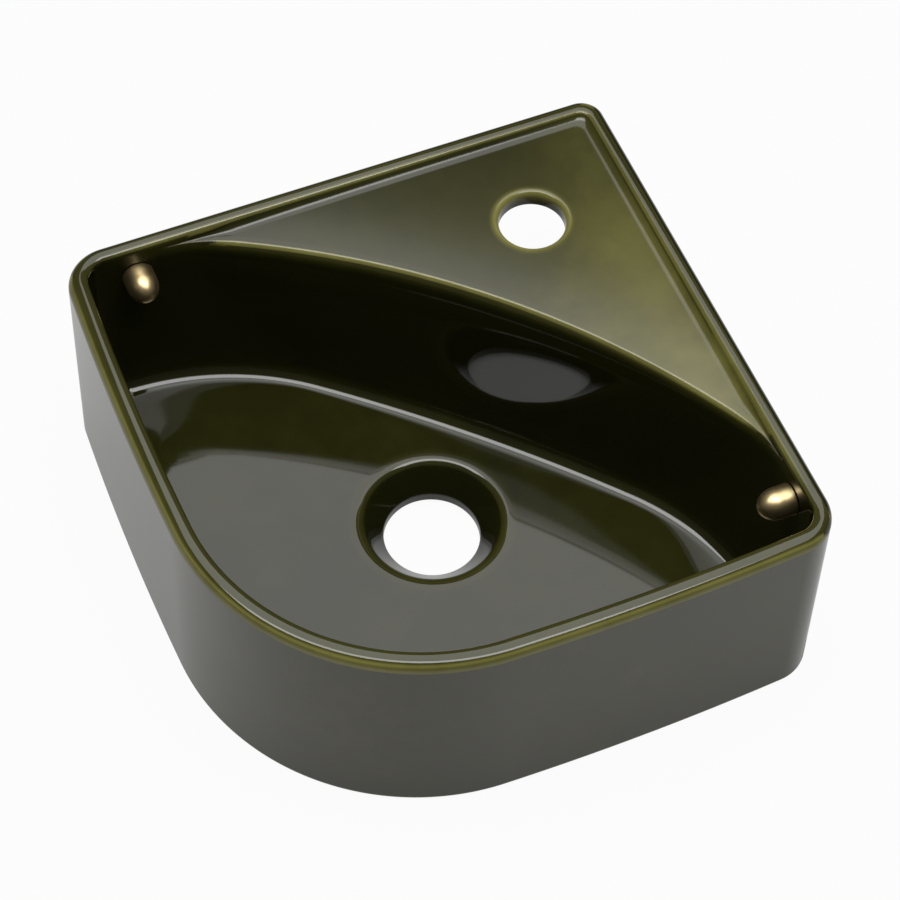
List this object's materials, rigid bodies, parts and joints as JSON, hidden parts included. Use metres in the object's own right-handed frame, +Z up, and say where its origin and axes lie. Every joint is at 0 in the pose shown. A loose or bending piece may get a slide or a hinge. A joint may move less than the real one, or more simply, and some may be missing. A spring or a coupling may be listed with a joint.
{
  "type": "wall-hung corner hand basin",
  "caption": "Glazed ceramic corner hand basin with a raised tap deck, curved bowl wall, funnel drain and screw-on brass caps over its wall fixings.",
  "frame": {"origin": "middle of the plan's square, on the plane of the foot", "axes": "+Z up; +X and +Y square to the two back walls, so the wall corner is towards +X +Y"},
  "size_m": [0.305, 0.305, 0.126],
  "materials": {
    "glaze": "high-gloss transparent olive-brown glaze over stoneware, paler gold where it thins on edges",
    "cap_brass": "satin brushed brass",
    "nut_brass": "plain turned brass",
    "seal_rubber": "black moulded rubber",
    "nylon": "natural nylon"
  },
  "bodies": {
    "basin": {"basin_body": "glaze", "left_bush": "nylon", "left_sleeve_nut": "nut_brass", "right_bush": "nylon", "right_sleeve_nut": "nut_brass"},
    "left_seal": {"left_cap_seal": "seal_rubber"},
    "left_cap": {"left_cap": "cap_brass"},
    "right_seal": {"right_cap_seal": "seal_rubber"},
    "right_cap": {"right_cap": "cap_brass"}
  },
  "joints": [
    {"name": "left_cap_draw", "type": "slide", "parent": "basin", "child": "left_seal", "axis": [0, -1, 0], "range_m": [0, 0.009]},
    {"name": "left_cap_turn", "type": "hinge", "parent": "left_seal", "child": "left_cap", "pos_m": [-0.10936, 0.1433, 0.1064], "axis": [0, -1, 0], "range_deg": [0, 2160]},
    {"name": "right_cap_draw", "type": "slide", "parent": "basin", "child": "right_seal", "axis": [-1, 0, 0], "range_m": [0, 0.009]},
    {"name": "right_cap_turn", "type": "hinge", "parent": "right_seal", "child": "right_cap", "pos_m": [0.1433, -0.10936, 0.1064], "axis": [-1, 0, 0], "range_deg": [0, 2160]}
  ],
  "couplings": [
    {"joint": "left_cap_draw", "follows": "left_cap_turn", "m_per_rad": 0.00023873},
    {"joint": "right_cap_draw", "follows": "right_cap_turn", "m_per_rad": 0.00023873}
  ]
}
